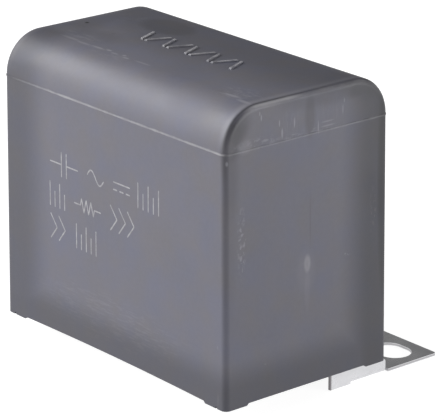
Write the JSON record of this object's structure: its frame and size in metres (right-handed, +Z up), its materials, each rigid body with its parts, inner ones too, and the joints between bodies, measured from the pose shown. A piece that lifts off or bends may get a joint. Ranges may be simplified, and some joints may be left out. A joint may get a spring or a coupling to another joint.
{
  "type": "box film capacitor",
  "caption": "Potted box film capacitor: moulded case with rounded long top edges, and slotted sheet lugs that fold under it and run out past the back wall.",
  "frame": {"origin": "midway between the centres of the lug slots, on the lugs' lower faces, which seat on a bus bar", "axes": "+X along the box, from the left lug to the right one; +Y the way the lugs point; +Z up through the closed top of the box"},
  "size_m": [0.0576, 0.047, 0.0521],
  "materials": {
    "case_plastic": "satin moulded plastic, dark grey",
    "potting_resin": "smooth cast resin, near black",
    "metallised_film": "clear film with a silvery metal layer",
    "sprayed_zinc": "grainy sprayed zinc",
    "solder": "smooth soft solder",
    "tinned_sheet": "bright tinned copper sheet"
  },
  "bodies": {
    "root": {"case": "case_plastic", "potting_resin": "potting_resin", "film_winding_lower": "metallised_film", "film_winding_upper": "metallised_film", "zinc_spray_lower_left": "sprayed_zinc", "zinc_spray_lower_right": "sprayed_zinc", "zinc_spray_upper_left": "sprayed_zinc", "zinc_spray_upper_right": "sprayed_zinc", "solder_joint_lower_left": "solder", "solder_joint_lower_right": "solder", "solder_joint_upper_left": "solder", "solder_joint_upper_right": "solder", "terminal_left": "tinned_sheet", "terminal_right": "tinned_sheet"}
  },
  "joints": []
}
